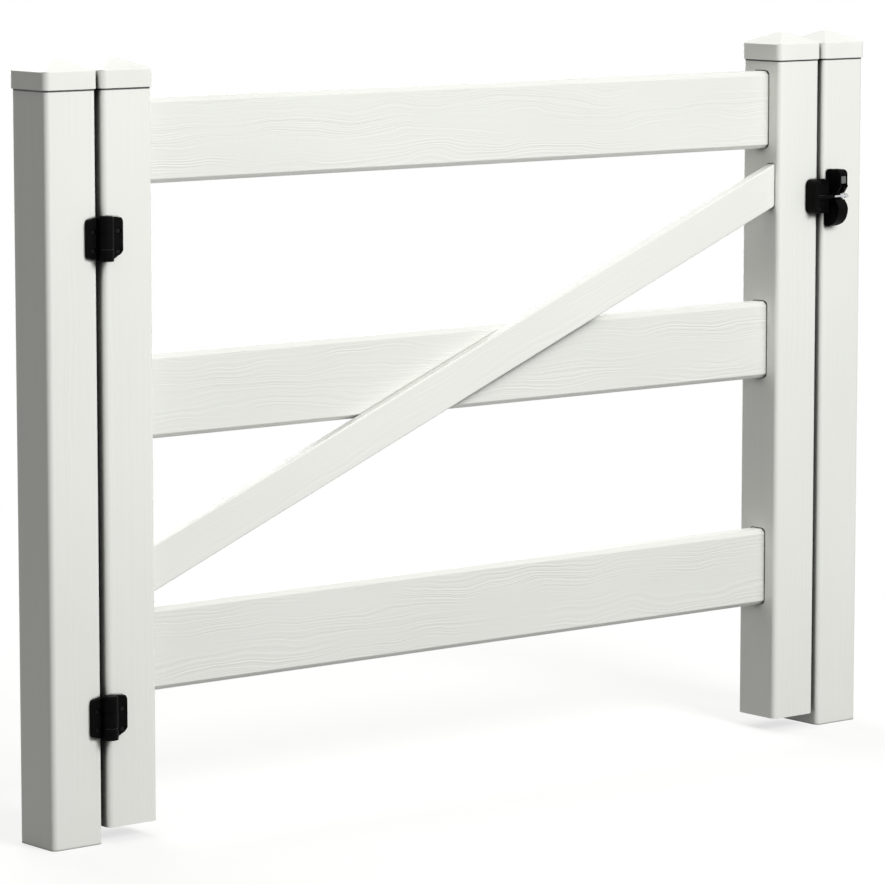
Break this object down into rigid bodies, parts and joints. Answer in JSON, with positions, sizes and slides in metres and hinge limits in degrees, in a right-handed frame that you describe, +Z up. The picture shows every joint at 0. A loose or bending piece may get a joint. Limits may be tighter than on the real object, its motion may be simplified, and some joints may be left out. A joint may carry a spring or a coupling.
{
  "type": "field gate",
  "caption": "White vinyl field gate: a railed leaf with a diagonal brace, hung on self-closing barrel hinges between capped square posts and held by a push-button latch.",
  "frame": {"origin": "on the ground, under the middle of the whole gate's bounding box", "axes": "+X along the fence from the hinge post to the latch post, -Y to the front where the hinges and latch are, +Z up"},
  "size_m": [1.8674, 0.1456, 1.322],
  "materials": {
    "vinyl_white": "satin white vinyl with embossed wood grain",
    "polymer_black": "semi-gloss moulded black polymer",
    "polymer_grey": "moulded grey polymer",
    "steel": "plain stainless steel",
    "steel_black": "black-coated steel",
    "aluminium": "mill-finish extrusion"
  },
  "bodies": {
    "posts": {"hinge_post": "vinyl_white", "hinge_post_cap": "vinyl_white", "hinge_post_channel": "aluminium", "latch_post": "vinyl_white", "latch_post_cap": "vinyl_white", "latch_post_channel": "aluminium", "upper_hinge_post_leaf": "polymer_black", "upper_hinge_pin": "steel", "upper_hinge_adjuster": "polymer_black", "lower_hinge_post_leaf": "polymer_black", "lower_hinge_pin": "steel", "lower_hinge_adjuster": "polymer_black", "hinge_washers": "steel_black", "post_leaf_screws": "steel_black", "latch_housing": "polymer_black", "latch_side_cover": "polymer_black", "catch_pin": "steel_black", "catch_spring": "steel", "latch_screws": "steel_black"},
    "gate": {"hinge_stile": "vinyl_white", "hinge_stile_cap": "vinyl_white", "hinge_stile_channel": "aluminium", "latch_stile": "vinyl_white", "latch_stile_cap": "vinyl_white", "latch_stile_channel": "aluminium", "top_rail": "vinyl_white", "middle_rail": "vinyl_white", "bottom_rail": "vinyl_white", "diagonal_brace": "vinyl_white", "brace_screws": "steel", "upper_hinge_gate_leaf": "polymer_black", "upper_hinge_spring": "steel", "lower_hinge_gate_leaf": "polymer_black", "lower_hinge_spring": "steel", "hinge_bushes": "polymer_grey", "gate_leaf_screws": "steel_black", "striker_bracket": "polymer_black", "striker_rod": "steel", "striker_screws": "steel_black"},
    "catch": {"latch_catch": "polymer_black"},
    "button": {"release_button": "polymer_grey"}
  },
  "joints": [
    {"name": "gate_swing", "type": "hinge", "parent": "posts", "child": "gate", "pos_m": [-0.82335, -0.0468, 0.62], "axis": [0, 0, -1], "range_deg": [0, 110], "stiffness_Nm_per_rad": 1.6, "springref_deg": -68.75},
    {"name": "catch_turn", "type": "hinge", "parent": "posts", "child": "catch", "pos_m": [0.8453, -0.0398, 1.0295], "axis": [1, 0, 0], "range_deg": [0, 30], "stiffness_Nm_per_rad": 0.004, "springref_deg": 85.94},
    {"name": "button_slide", "type": "slide", "parent": "posts", "child": "button", "axis": [0, -1, 0], "range_m": [0, 0.008]}
  ],
  "couplings": [
    {"joint": "button_slide", "follows": "catch_turn", "m_per_rad": 0.015278}
  ]
}
